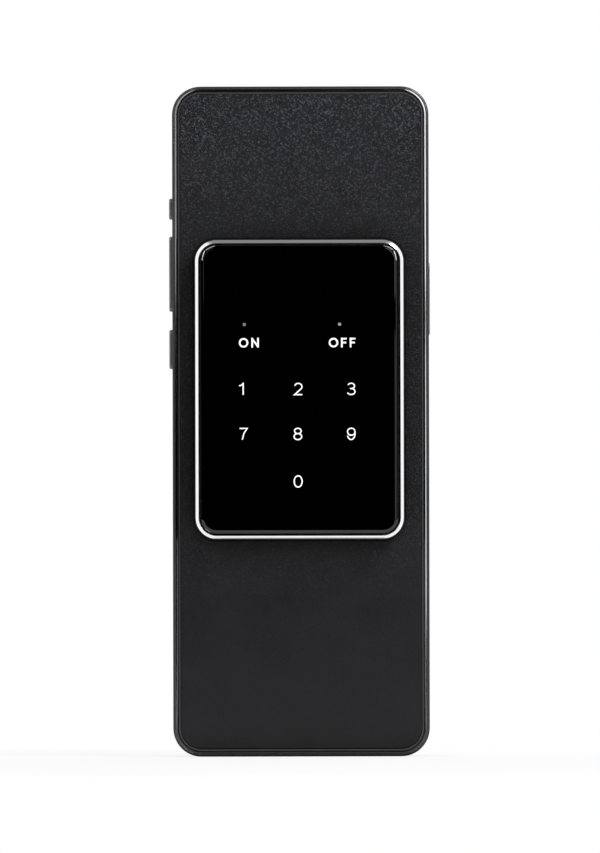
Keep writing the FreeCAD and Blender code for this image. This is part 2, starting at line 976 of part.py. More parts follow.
def charging_ribbon_sockets():
    low_z = charge_board_top - socket_height / 2
    high_z = main_board_bottom + socket_height / 2
    return [
        ribbon_socket(charge_socket_length, charge_board_front, 0, low_z),
        ribbon_socket(charge_socket_length, main_board_front, 0, high_z),
    ]


def charging_ribbon():
    pad_depth = battery_front + battery_pad_thickness / 2
    low_depth = charge_board_front + socket_thickness / 2
    high_depth = main_board_front + socket_thickness / 2
    points = [
        Vector(0, -low_depth, charge_board_top),
        Vector(0, -low_depth, charge_board_top + ribbon_straight / 2),
        Vector(0, -pad_depth, battery_bottom - ribbon_straight / 2),
        Vector(0, -pad_depth, battery_top),
        Vector(0, -high_depth, main_board_bottom - 2 * ribbon_straight),
        Vector(0, -high_depth, main_board_bottom),
    ]
    return ribbon(points, charge_ribbon_width, ribbon_thickness, ribbon_bend)


# Side buttons


def side_button(side, drop, length, proud, edge_radius):
    outer = case_side + proud
    cap = side_pill(side, drop, length, button_width, flange_outer_x, outer)
    edges = [edge for edge in cap.Edges if abs(abs(edge.BoundBox.Center.x) - outer) < 0.001]
    cap = cap.makeFillet(edge_radius, edges)
    flange = side_pill(
        side,
        drop,
        length + 2 * button_flange_lip,
        button_width + 2 * button_flange_lip,
        flange_inner_x,
        flange_outer_x,
    )
    return join([cap, flange])


def side_rod(side, z, radius, inner, outer):
    """Round rod across the case's side between two distances from the middle."""
    rod = Part.makeCylinder(radius, outer - inner, Vector(inner, -button_depth, z), Vector(1, 0, 0))
    return rod if side > 0 else rod.mirror(Vector(0, 0, 0), Vector(1, 0, 0))


def switch_face(travel):
    """Distance of a side switch's outer face from the middle of the case."""
    return flange_inner_x - travel - press_gap


def switch_back(travel):
    return switch_face(travel) - stem_reach - travel - press_gap - switch_wall


def switch_stem(side, drop, travel):
    inner = switch_face(travel) - stem_reach
    return side_rod(side, case_top - drop, stem_radius, inner, flange_inner_x)


def side_switch(side, drop, travel):
    z = case_top - drop
    face = switch_face(travel)
    back = switch_back(travel)
    body = Part.makeBox(
        face - back,
        switch_width,
        switch_height,
        Vector(back, -button_depth - switch_width / 2, z - switch_height / 2),
    )
    body = body if side > 0 else body.mirror(Vector(0, 0, 0), Vector(1, 0, 0))
    return body.cut(side_rod(side, z, stem_radius + stem_clearance, back + switch_wall, face))


def side_board(side, top_drop, bottom_drop, travel):
    """Board that the side switches stand on. It reaches the front plate, which carries it."""
    outer = switch_back(travel)
    top = case_top - top_drop + side_board_end
    bottom = case_top - bottom_drop - side_board_end
    board = Part.makeBox(
        side_board_thickness,
        side_board_depth_width,
        top - bottom,
        Vector(outer - side_board_thickness, -plate_back, bottom),
    )
    return board if side > 0 else board.mirror(Vector(0, 0, 0), Vector(1, 0, 0))


def side_flex(side, drop, travel):
    """Flat tail from a side board to the front face of the main board."""
    outer = switch_back(travel) - side_board_thickness
    inner = main_board_side - lead_overlap
    z = case_top - drop
    tail = Part.makeBox(
        outer - inner,
        ribbon_thickness,
        side_flex_width,
        Vector(inner, -main_board_front - ribbon_thickness, z - side_flex_width / 2),
    )
    return tail if side > 0 else tail.mirror(Vector(0, 0, 0), Vector(1, 0, 0))


# Tamper switch


def tamper_plunger():
    pin = post(tamper_x, tamper_z, tamper_pin_radius, -tamper_reach, tamper_flange_back)
    pin = pin.makeFillet(tamper_tip_radius, edges_at(pin, -tamper_reach, lambda point: True))
    flange = post(tamper_x, tamper_z, tamper_flange_radius, tamper_flange_back, tamper_flange_front)
    stem_end = tamper_open + tamper_stem_reach
    stem = post(tamper_x, tamper_z, tamper_stem_radius, tamper_flange_front, stem_end)
    return join([pin, flange, stem])


def tamper_switch():
    body = block(tamper_switch_side, tamper_switch_side, tamper_open, plate_back, tamper_x, tamper_z)
    hole_radius = tamper_stem_radius + tamper_pin_clearance
    return body.cut(post(tamper_x, tamper_z, hole_radius, tamper_open, tamper_open + tamper_cavity))


def tamper_lead():
    bottom = main_board_top - lead_overlap
    top = tamper_z - tamper_switch_side / 2
    return straight_leads(tamper_x, bottom, top, tamper_open + lead_radius)


def tamper_spring():
    """Helix of round wire around the plunger's stem."""
    start = tamper_flange_front + spring_wire_radius + spring_end_gap
    end = tamper_open - spring_wire_radius - spring_end_gap
    steps = spring_turns * 16
    points = []
    for step in range(steps + 1):
        angle = step * 2 * math.pi * spring_turns / steps
        x = tamper_x + spring_radius * math.cos(angle)
        z = tamper_z + spring_radius * math.sin(angle)
        points.append(Vector(x, -start - (end - start) * step / steps, z))
    heading = Vector(0, (start - end) / spring_turns, 2 * math.pi * spring_radius)
    curve = Part.BSplineCurve()
    curve.interpolate(points)
    path = Part.Wire(curve.toShape())
    profile = Part.Wire(Part.makeCircle(spring_wire_radius, points[0], heading))
    return path.makePipeShell([profile], True, True)


# Parts list


def parts():
    left_span = (left_upper_drop, left_lower_drop)
    right_span = (right_button_drop, right_button_drop)
    left_drops = (left_upper_drop, left_middle_drop, left_lower_drop)
    left_look = (left_button_proud, left_button_edge_radius)
    right_look = (right_button_proud, right_button_edge_radius)
    return {
        "wall_bracket": wall_bracket(),
        "frame": frame(),
        "trim_ring": trim_ring(),
        "front_plate": front_plate(),
        "leatherette_skin": leatherette_skin(),
        "rear_cover": rear_cover(),
        "rear_cover_screws": rear_cover_screws(),
        "keypad_housing": keypad_housing(),
        "keypad_seal": keypad_seal(),
        "keypad_screws": keypad_screws(),
        "keypad_bezel": keypad_bezel(),
        "keypad_glass": keypad_glass(),
        "touch_sensor": touch_sensor(),
        "light_guide": light_guide(),
        "keypad_board": keypad_board(),
        "backlight_leds": leds(digit_places + list(word_places)),
        "status_leds": leds(dot_places),
        "touch_controller": touch_controller(),
        "keypad_ribbon_sockets": keypad_ribbon_sockets(),
        "keypad_ribbon": keypad_ribbon(),
        "main_board": main_board(),
        "main_board_screws": main_board_screws(),
        "processor": processor(),
        "radio_module": radio_module(),
        "power_chip": power_chip(),
        "inductor": inductor(),
        "antenna": antenna(),
        "antenna_lead": antenna_lead(),
        "sounder": sounder(),
        "sounder_lead": sounder_lead(),
        "battery": battery(),
        "battery_pads": battery_pads(),
        "battery_socket": battery_socket(),
        "battery_lead": battery_lead(),
        "charging_board": charging_board(),
        "charging_board_screws": charging_board_screws(),
        "charging_socket": charging_socket(),
        "charging_ribbon_sockets": charging_ribbon_sockets(),
        "charging_ribbon": charging_ribbon(),
        "left_upper_button": side_button(-1, left_upper_drop, left_upper_length, *left_look),
        "left_middle_button": side_button(-1, left_middle_drop, left_middle_length, *left_look),
        "left_lower_button": side_button(-1, left_lower_drop, left_lower_length, *left_look),
        "right_button": side_button(1, right_button_drop, right_button_length, *right_look),
        "left_upper_stem": switch_stem(-1, left_upper_drop, left_button_travel),
        "left_middle_stem": switch_stem(-1, left_middle_drop, left_button_travel),
        "left_lower_stem": switch_stem(-1, left_lower_drop, left_button_travel),
        "right_stem": switch_stem(1, right_button_drop, right_button_travel),
        "left_switches": [side_switch(-1, drop, left_button_travel) for drop in left_drops],
        "right_switch": side_switch(1, right_button_drop, right_button_travel),
        "left_switch_board": side_board(-1, *left_span, left_button_travel),
        "right_switch_board": side_board(1, *right_span, right_button_travel),
        "side_flexes": [
            side_flex(-1, left_middle_drop, left_button_travel),
            side_flex(1, right_button_drop, right_button_travel),
        ],
        "tamper_plunger": tamper_plunger(),
        "tamper_spring": tamper_spring(),
        "tamper_switch": tamper_switch(),
        "tamper_lead": tamper_lead(),
    }


def write(name, made):
    """One STEP file with the part's solids."""
    shapes = made if isinstance(made, list) else [made]
    solids = [solid for shape in shapes for solid in shape.Solids]
    whole = solids[0] if len(solids) == 1 else Part.Compound(solids)
    whole.exportStep("parts/" + name + ".step")
    print(name, len(solids), round(whole.Volume, 2), whole.isValid())


os.makedirs("parts", exist_ok=True)
for part_name, part_shape in parts().items():
    write(part_name, part_shape)
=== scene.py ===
import math

import bmesh
import bpy
from mathutils import Matrix, Vector


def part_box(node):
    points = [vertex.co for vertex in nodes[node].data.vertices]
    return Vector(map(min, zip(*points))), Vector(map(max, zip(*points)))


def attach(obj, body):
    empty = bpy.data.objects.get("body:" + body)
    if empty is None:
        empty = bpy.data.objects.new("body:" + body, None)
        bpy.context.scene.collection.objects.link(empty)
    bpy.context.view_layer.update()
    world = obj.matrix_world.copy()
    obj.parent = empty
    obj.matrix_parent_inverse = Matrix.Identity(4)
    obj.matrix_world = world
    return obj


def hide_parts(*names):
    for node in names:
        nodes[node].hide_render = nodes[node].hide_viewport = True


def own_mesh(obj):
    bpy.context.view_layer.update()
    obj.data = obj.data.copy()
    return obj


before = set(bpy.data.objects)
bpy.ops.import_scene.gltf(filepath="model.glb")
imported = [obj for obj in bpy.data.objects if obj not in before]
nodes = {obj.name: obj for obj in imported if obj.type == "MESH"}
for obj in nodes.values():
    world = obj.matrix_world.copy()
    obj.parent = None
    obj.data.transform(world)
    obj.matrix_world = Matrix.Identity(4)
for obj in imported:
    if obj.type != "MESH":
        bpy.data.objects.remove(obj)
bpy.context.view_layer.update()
MM = 0.001

# Sizes of the visible pieces, in millimetres. X is right, Z is up, and a depth is a distance out from the wall.

CASE_WIDTH = 76.0
CASE_HEIGHT = 198.5
CASE_RADIUS = 8.4
FRAME_WALL = 1.3
FRAME_FRONT = 14.9
TRIM_WIDTH = 0.5
TRIM_HEIGHT = 0.6
TRIM_SLOPE = 0.36
TRIM_RISE = 0.05
SKIN_INSET = 2.15
SKIN_BACK = 14.1
SKIN_FRONT = 14.8
SKIN_GAP = 0.4  # between the skin and the keypad
SKIN_OUTER_ROLL = 0.45
SKIN_OUTER_FLAT = 0.7  # from the skin's outer edge to its flat face
SKIN_INNER_ROLL = 0.35
SKIN_INNER_FLAT = 0.6
KEYPAD_WIDTH = 61.7
KEYPAD_HEIGHT = 88.5
KEYPAD_RADIUS = 6.3
KEYPAD_MIDDLE = (-0.4, 9.5)
BEZEL_BACK = 18.9
BEZEL_FRONT = 21.9
BEZEL_FACE = 1.1
BEZEL_LEDGE = 1.9
BEZEL_SLOPE_TOP = 0.93  # inset of the slope's inner end
BEZEL_SLOPE = 0.86
BEZEL_DROP = 0.74
BEZEL_CROWN = 0.035
GLASS_BACK = 20.2
GLASS_FRONT = 21.97
GLASS_INSET = 1.6
GLASS_BEVEL = 0.88
GLASS_BEVEL_RISE = 0.345
BROKEN_EDGE = 0.05
SLOPE_STEPS = 8
SPRING_WIRE = 0.18
SPRING_TURNS = 5
SPRING_STEPS = 28  # in a turn
SPRING_SIDES = 10
SPRING_CLOSED = 0.14  # share of the wire in the closed turn at each end
LEGEND_BACK = 21.96
LEGEND_FRONT = 21.995
DIGIT_HEIGHT = 3.7
DIGIT_STROKE = 0.36
LETTER_HEIGHT = 2.8
LETTER_STROKE = 0.50
WORD_Z = 23.3
DOT_Z = 28.7
DOT_WIDTH = 0.95
MERGE_DISTANCE = 0.002


# Meshes


def point(x, z, depth):
    return Vector((x * MM, -depth * MM, z * MM))


def rounded_loop(width, height, radius, depth, middle, steps=14):
    """Points of a rounded rectangle that faces the wall, at one depth."""
    points = []
    for quarter in range(4):
        sign_x = 1 if quarter in (0, 3) else -1
        sign_z = 1 if quarter in (0, 1) else -1
        x = middle[0] + sign_x * (width / 2 - radius)
        z = middle[1] + sign_z * (height / 2 - radius)
        for step in range(steps + 1):
            angle = (quarter + step / steps) * math.pi / 2
            points.append(point(x + radius * math.cos(angle), z + radius * math.sin(angle), depth))
    return points


def inset_loops(shape, profile):
    """Loops of a width, height, radius and middle, one for each inset and depth of the profile."""
    width, height, radius, middle = shape
    loops = []
    for inset, depth in profile:
        inner = max(radius - inset, 0.2)
        loops.append(rounded_loop(width - 2 * inset, height - 2 * inset, inner, depth, middle))
    return loops


def quarter_turn(inset, depth, radius, steps=5):
    """Insets and depths of an edge rounded from a side to a face."""
    turns = [step / steps * math.pi / 2 for step in range(steps + 1)]
    return [(inset + radius * (1 - math.cos(turn)), depth - radius * (1 - math.sin(turn))) for turn in turns]


def solid_mesh(name, loops, ring):
    """Mesh through loops of equal length: a closed ring, or a plate or bar with both ends capped."""
    shape = bmesh.new()
    rows = [[shape.verts.new(co) for co in loop] for loop in loops]
    pairs = list(zip(rows, rows[1:]))
    if ring:
        pairs.append((rows[-1], rows[0]))
    count = len(rows[0])
    for near, far in pairs:
        for index in range(count):
            after = (index + 1) % count
            shape.faces.new((near[index], near[after], far[after], far[index]))
    if not ring:
        shape.faces.new(rows[0])
        shape.faces.new(list(reversed(rows[-1])))
    bmesh.ops.recalc_face_normals(shape, faces=shape.faces)
    mesh = bpy.data.meshes.new(name)
    shape.to_mesh(mesh)
    shape.free()
    return mesh


def add_object(name, data):
    obj = bpy.data.objects.new(name, data)
    bpy.context.scene.collection.objects.link(obj)
    return obj


def add_piece(name, mesh, material, smooth_angle):
    """Piece shaded smooth, apart from edges that turn more than an angle in degrees."""
    for polygon in mesh.polygons:
        polygon.use_smooth = True
    mesh.set_sharp_from_angle(angle=math.radians(smooth_angle))
    mesh.materials.append(material)
    return add_object(name, mesh)


def loft(name, loops, material, ring, smooth_angle):
    return add_piece(name, solid_mesh(name, loops, ring), material, smooth_angle)


# Nodes


def link(tree, start, end):
    tree.links.new(start, end)


def set_input(tree, socket, value):
    """Give a socket a number or colour of its own, or another node's output."""
    if isinstance(value, bpy.types.NodeSocket):
        link(tree, value, socket)
    else:
        socket.default_value = value


def set_shader(tree, shader, values):
    for name, value in values.items():
        set_input(tree, shader.inputs[name], value)


def new_material(name):
    material = bpy.data.materials.new(name)
    material.use_nodes = True
    tree = material.node_tree
    return material, tree, tree.nodes["Principled BSDF"]


def object_coordinates(tree, stretch=(1.0, 1.0, 1.0)):
    source = tree.nodes.new("ShaderNodeTexCoord")
    mapping = tree.nodes.new("ShaderNodeMapping")
    mapping.inputs["Scale"].default_value = stretch
    link(tree, source.outputs["Object"], mapping.inputs["Vector"])
    return mapping.outputs["Vector"]


def component(tree, vector, axis):
    parts = tree.nodes.new("ShaderNodeSeparateXYZ")
    link(tree, vector, parts.inputs[0])
    return parts.outputs[axis]


def noise(tree, vector, size, detail=3.0, roughness=0.55):
    """Noise whose features are about one size, in millimetres."""
    node = tree.nodes.new("ShaderNodeTexNoise")
    node.inputs["Scale"].default_value = 1.0 / (size * MM)
    node.inputs["Detail"].default_value = detail
    node.inputs["Roughness"].default_value = roughness
    link(tree, vector, node.inputs["Vector"])
    return node.outputs["Fac"]


def cell_texture(tree, vector, cells_per_metre, feature):
    node = tree.nodes.new("ShaderNodeTexVoronoi")
    node.feature = feature
    node.inputs["Scale"].default_value = cells_per_metre
    link(tree, vector, node.inputs["Vector"])
    return node


def spread(tree, value, low, high, from_low=0.3, from_high=0.7):
    """A value brought from one range to another. Noise mostly fills the range that it takes by default."""
    node = tree.nodes.new("ShaderNodeMapRange")
    node.inputs["From Min"].default_value = from_low
    node.inputs["From Max"].default_value = from_high
    node.inputs["To Min"].default_value = low
    node.inputs["To Max"].default_value = high
    link(tree, value, node.inputs["Value"])
    return node.outputs["Result"]


def calculate(tree, operation, *values):
    node = tree.nodes.new("ShaderNodeMath")
    node.operation = operation
    for socket, value in zip(node.inputs, values):
        set_input(tree, socket, value)
    return node.outputs[0]


def combine(tree, operation, first, second, result="Vector"):
    """Vector maths, with a vector or a value as its result."""
    node = tree.nodes.new("ShaderNodeVectorMath")
    node.operation = operation
    set_input(tree, node.inputs[0], first)
    set_input(tree, node.inputs[1], second)
    return node.outputs[result]


def mix_colours(tree, factor, first, second):
    node = tree.nodes.new("ShaderNodeMix")
    node.data_type = "RGBA"
    for socket, colour in ((node.inputs[6], first), (node.inputs[7], second)):
        set_input(tree, socket, (*colour, 1.0) if isinstance(colour, tuple) else colour)
    link(tree, factor, node.inputs[0])
    return node.outputs[2]


def mix_shaders(tree, factor, first, second):
    node = tree.nodes.new("ShaderNodeMixShader")
    for socket, value in zip(node.inputs, (factor, first.outputs[0], second.outputs[0])):
        link(tree, value, socket)
    return node.outputs[0]


def bump(tree, height, strength, distance, normal=None):
    """Relief whose distance is in millimetres."""
    node = tree.nodes.new("ShaderNodeBump")
    set_input(tree, node.inputs["Strength"], strength)
    node.inputs["Distance"].default_value = distance * MM
    link(tree, height, node.inputs["Height"])
    if normal is not None:
        link(tree, normal, node.inputs["Normal"])
    return node.outputs["Normal"]


def openness(tree, distance):
    """1 where nothing stands within a distance in millimetres, and less in a corner."""
    node = tree.nodes.new("ShaderNodeAmbientOcclusion")
    node.inputs["Distance"].default_value = distance * MM
    return node.outputs["AO"]


def seen_rays(tree):
    """1 for a ray from the camera, or a mirrored or refracted one, and 0 for light."""
    rays = tree.nodes.new("ShaderNodeLightPath").outputs
    mirrored = calculate(tree, "MAXIMUM", rays["Is Camera Ray"], rays["Is Glossy Ray"])
    return calculate(tree, "MAXIMUM", mirrored, rays["Is Transmission Ray"])


def ramp(tree, value, ends, stops):
    """Grey ramp: the shades at its two ends, and stops between them as places and shades."""
    node = tree.nodes.new("ShaderNodeValToRGB")
    elements = node.color_ramp.elements
    for element, shade in zip(elements, ends):
        element.color = (shade, shade, shade, 1.0)
    for place, shade in stops:
        elements.new(place).color = (shade, shade, shade, 1.0)
    link(tree, value, node.inputs["Fac"])
    return node.outputs["Color"]


def tint(colour, share):
    return tuple(channel * share for channel in colour)


# Materials

CLOUD_SIZE = 9.0
EDGE_RADIUS = 0.22
EDGE_SAMPLES = 4
EDGE_TURN = (0.8, 0.97)  # how far the softened normal turns away at an edge, as a dot product
SKIN_CELLS = 2300.0  # pebbles in a metre
SKIN_WARP_SCALE = 700.0
SKIN_WARP = 0.0006  # how far the warp moves a pebble, in metres
SKIN_COLOURS_AND_PAINTED_LIGHT = {
    "gap": (0.0025, 0.0026, 0.0031),
    "pebble": (0.0100, 0.0103, 0.0116),
    "cloud": (0.015, 0.0155, 0.017),
    # worn is a painted glint: a lighter colour for pebble tops that stands for highlights
    "worn": (0.072, 0.075, 0.086),
    "smooth": (0.018, 0.0185, 0.0195),
    "painted_shade": (0.0008, 0.0008, 0.0009),
}

# Heights in metres over which a look changes.

GRAIN_HEIGHTS = (-0.055, -0.02)
PAINTED_GLINT_HEIGHTS = (0.055, 0.09)
SMOOTH_HEIGHTS = (-0.09, -0.045)
TRIM_PAINTED_SHADE_HEIGHTS = (-0.092, -0.078)


def finish_material(
    name,
    colour,
    metallic,
    roughness,
    grain_size=0.25,
    grain_depth=0.01,
    mottle=0.12,
    roughness_spread=0.08,
    edge=0.0,
    stretch=(1.0, 1.0, 1.0),
    glancing=1.0,
):
    """Plastic or metal with mottled colour, uneven gloss, fine grain and lighter, worn edges."""
    material, tree, shader = new_material(name)
    vector = object_coordinates(tree, stretch)
    cloud = spread(tree, noise(tree, vector, CLOUD_SIZE), 0.0, 1.0)
    grain = noise(tree, vector, grain_size, 4.0, 0.6)
    base = mix_colours(tree, cloud, tint(colour, 1.0 - mottle), tint(colour, 1.0 + mottle))
    softened = None
    if edge:
        corner = tree.nodes.new("ShaderNodeBevel")
        corner.samples = EDGE_SAMPLES
        corner.inputs["Radius"].default_value = EDGE_RADIUS * MM
        softened = corner.outputs["Normal"]
        flat = tree.nodes.new("ShaderNodeNewGeometry").outputs["Normal"]
        turned = combine(tree, "DOT_PRODUCT", softened, flat, "Value")
        near_edge = spread(tree, turned, 1.0, 0.0, *EDGE_TURN)
        worn = calculate(tree, "MULTIPLY", near_edge, spread(tree, grain, 0.2, 1.0))
        base = mix_colours(tree, worn, base, tuple(c + (1 - c) * edge for c in colour))
    values = {
        "Base Color": base,
        "Metallic": metallic,
        "Specular Tint": (glancing, glancing, glancing, 1.0),
        "Roughness": spread(tree, grain, roughness - roughness_spread, roughness + roughness_spread),
        "Normal": bump(tree, grain, 0.5, grain_depth, softened),
    }
    set_shader(tree, shader, values)
    return material


def leatherette_material():
    """Black coated cloth with a pebbled grain that is deeper towards the top of the case, painted glints on
    some pebbles and painted shade near the keypad.
    """
    material, tree, shader = new_material("leatherette")
    vector = object_coordinates(tree)
    warp = tree.nodes.new("ShaderNodeTexNoise")
    warp.inputs["Scale"].default_value = SKIN_WARP_SCALE
    warp.inputs["Detail"].default_value = 2.0
    link(tree, vector, warp.inputs["Vector"])
    shift = combine(tree, "SUBTRACT", warp.outputs["Color"], (0.5, 0.5, 0.5))
    shift = combine(tree, "MULTIPLY", shift, (SKIN_WARP, SKIN_WARP, SKIN_WARP))
    moved = combine(tree, "ADD", vector, shift)

    cells = cell_texture(tree, moved, SKIN_CELLS, "DISTANCE_TO_EDGE")
    pebbles = spread(tree, cells.outputs["Distance"], 0.0, 1.0, 0.0, 0.22)
    pores = noise(tree, vector, 0.16)
    waves = noise(tree, vector, 2.4, 2.0)
    bumpy = calculate(tree, "MULTIPLY_ADD", pores, 0.35, pebbles)
    bumpy = calculate(tree, "MULTIPLY_ADD", waves, 0.3, bumpy)
    height = component(tree, vector, "Z")
    strength = spread(tree, height, 0.06, 1.0, *GRAIN_HEIGHTS)
    relief = bump(tree, bumpy, strength, 0.14)

    base = mix_colours(tree, pebbles, SKIN_COLOURS_AND_PAINTED_LIGHT["gap"], SKIN_COLOURS_AND_PAINTED_LIGHT["pebble"])
    cloud = spread(tree, noise(tree, vector, 14.0), 0.0, 0.35)
    base = mix_colours(tree, cloud, base, SKIN_COLOURS_AND_PAINTED_LIGHT["cloud"])
    chosen = tree.nodes.new("ShaderNodeSeparateColor")
    link(tree, cell_texture(tree, moved, SKIN_CELLS, "F1").outputs["Color"], chosen.inputs[0])
    # Painted glints: some pebble tops get a lighter colour, more towards the top of the case, as highlights.
    painted_glints = calculate(tree, "MULTIPLY", pebbles, spread(tree, chosen.outputs[0], 0.0, 1.0, 0.5, 0.95))
    painted_glints = calculate(tree, "MULTIPLY", painted_glints, strength)
    painted_glints = calculate(tree, "MULTIPLY", painted_glints, spread(tree, height, 0.35, 1.0, *PAINTED_GLINT_HEIGHTS))
    base = mix_colours(tree, painted_glints, base, SKIN_COLOURS_AND_PAINTED_LIGHT["worn"])
    base = mix_colours(tree, spread(tree, height, 0.40, 0.0, *SMOOTH_HEIGHTS), base, SKIN_COLOURS_AND_PAINTED_LIGHT["smooth"])
    # Painted shade: the skin's colour is darkened where the keypad and frame stand close over it.
    outside_painted_shade = spread(tree, openness(tree, 9.0), 0.45, 1.0, 0.45, 0.92)
    values = {
        "Base Color": mix_colours(tree, outside_painted_shade, SKIN_COLOURS_AND_PAINTED_LIGHT["painted_shade"], base),
        "Roughness": spread(tree, pores, 0.46, 0.62),
        "Normal": relief,
        "Specular IOR Level": 0.11,
        "Coat Weight": 0.09,
        "Coat Roughness": 0.22,
        "Coat Normal": relief,
    }
    set_shader(tree, shader, values)
    return material


def trim_material():
    """Polished trim with painted shade that darkens it along its foot."""
    material, tree, shader = new_material("polished_trim")
    vector = object_coordinates(tree)
    cloud = spread(tree, noise(tree, vector, CLOUD_SIZE), 0.0, 1.0)
    grain = noise(tree, vector, 0.5, 4.0)
    base = mix_colours(tree, cloud, (0.60, 0.60, 0.61), (0.64, 0.64, 0.65))
    # Painted shade: the trim's colour is darkened towards its foot, where it would mirror the pale floor.
    painted_foot_shade = spread(tree, component(tree, vector, "Z"), 1.0, 0.0, *TRIM_PAINTED_SHADE_HEIGHTS)
    values = {
        "Base Color": mix_colours(tree, painted_foot_shade, base, (0.075, 0.075, 0.077)),
        "Metallic": 1.0,
        "Roughness": spread(tree, grain, 0.07, 0.11),
        "Normal": bump(tree, grain, 0.5, 0.0006),
    }
    set_shader(tree, shader, values)
    return material


def glass_material():
    """Back-painted black glass with the faintest smears in its gloss."""
    material, tree, shader = new_material("black_glass")
    vector = object_coordinates(tree, (1.0, 1.0, 0.35))
    smears = noise(tree, vector, 7.0, 5.0)
    shade = spread(tree, smears, 0.0, 1.0)
    values = {
        "Base Color": mix_colours(tree, shade, (0.0001, 0.0001, 0.00012), (0.0002, 0.0002, 0.00025)),
        "Roughness": spread(tree, smears, 0.015, 0.05),
        "IOR": 1.6,
        "Normal": bump(tree, smears, 0.02, 0.01),
    }
    set_shader(tree, shader, values)
    return material


def legend_material(name, colour, glow):
    """Printed legend, lit from behind, whose ink is a little uneven."""
    material, tree, shader = new_material(name)
    ink = noise(tree, object_coordinates(tree), 0.3)
    base = mix_colours(tree, spread(tree, ink, 0.0, 1.0), tint(colour, 0.94), colour)
    values = {
        "Base Color": base,
        "Emission Color": base,
        "Emission Strength": glow,
        "Roughness": spread(tree, ink, 0.4, 0.55),
    }
    set_shader(tree, shader, values)
    return material


def board_material(name, colour):
    """Circuit board with solder mask, copper runs under it and bare pads."""
    material, tree, shader = new_material(name)
    vector = object_coordinates(tree)
    runs = tree.nodes.new("ShaderNodeTexBrick")
    runs.inputs["Scale"].default_value = 260.0
    runs.inputs["Mortar Size"].default_value = 0.03
    for socket, share in (("Color1", 0.85), ("Color2", 1.15), ("Mortar", 1.9)):
        runs.inputs[socket].default_value = (*tint(colour, share), 1.0)
    upright = tree.nodes.new("ShaderNodeMapping")
    upright.inputs["Rotation"].default_value = (math.pi / 2, 0.0, 0.0)
    link(tree, vector, upright.inputs["Vector"])
    link(tree, upright.outputs["Vector"], runs.inputs["Vector"])
    grain = noise(tree, vector, 0.5)
    stain = spread(tree, grain, 0.0, 0.3)
    values = {
        "Base Color": mix_colours(tree, stain, runs.outputs["Color"], tint(colour, 0.6)),
        "Roughness": spread(tree, grain, 0.3, 0.45),
        "Normal": bump(tree, runs.outputs["Fac"], 0.4, 0.03),
    }
    set_shader(tree, shader, values)
    return material


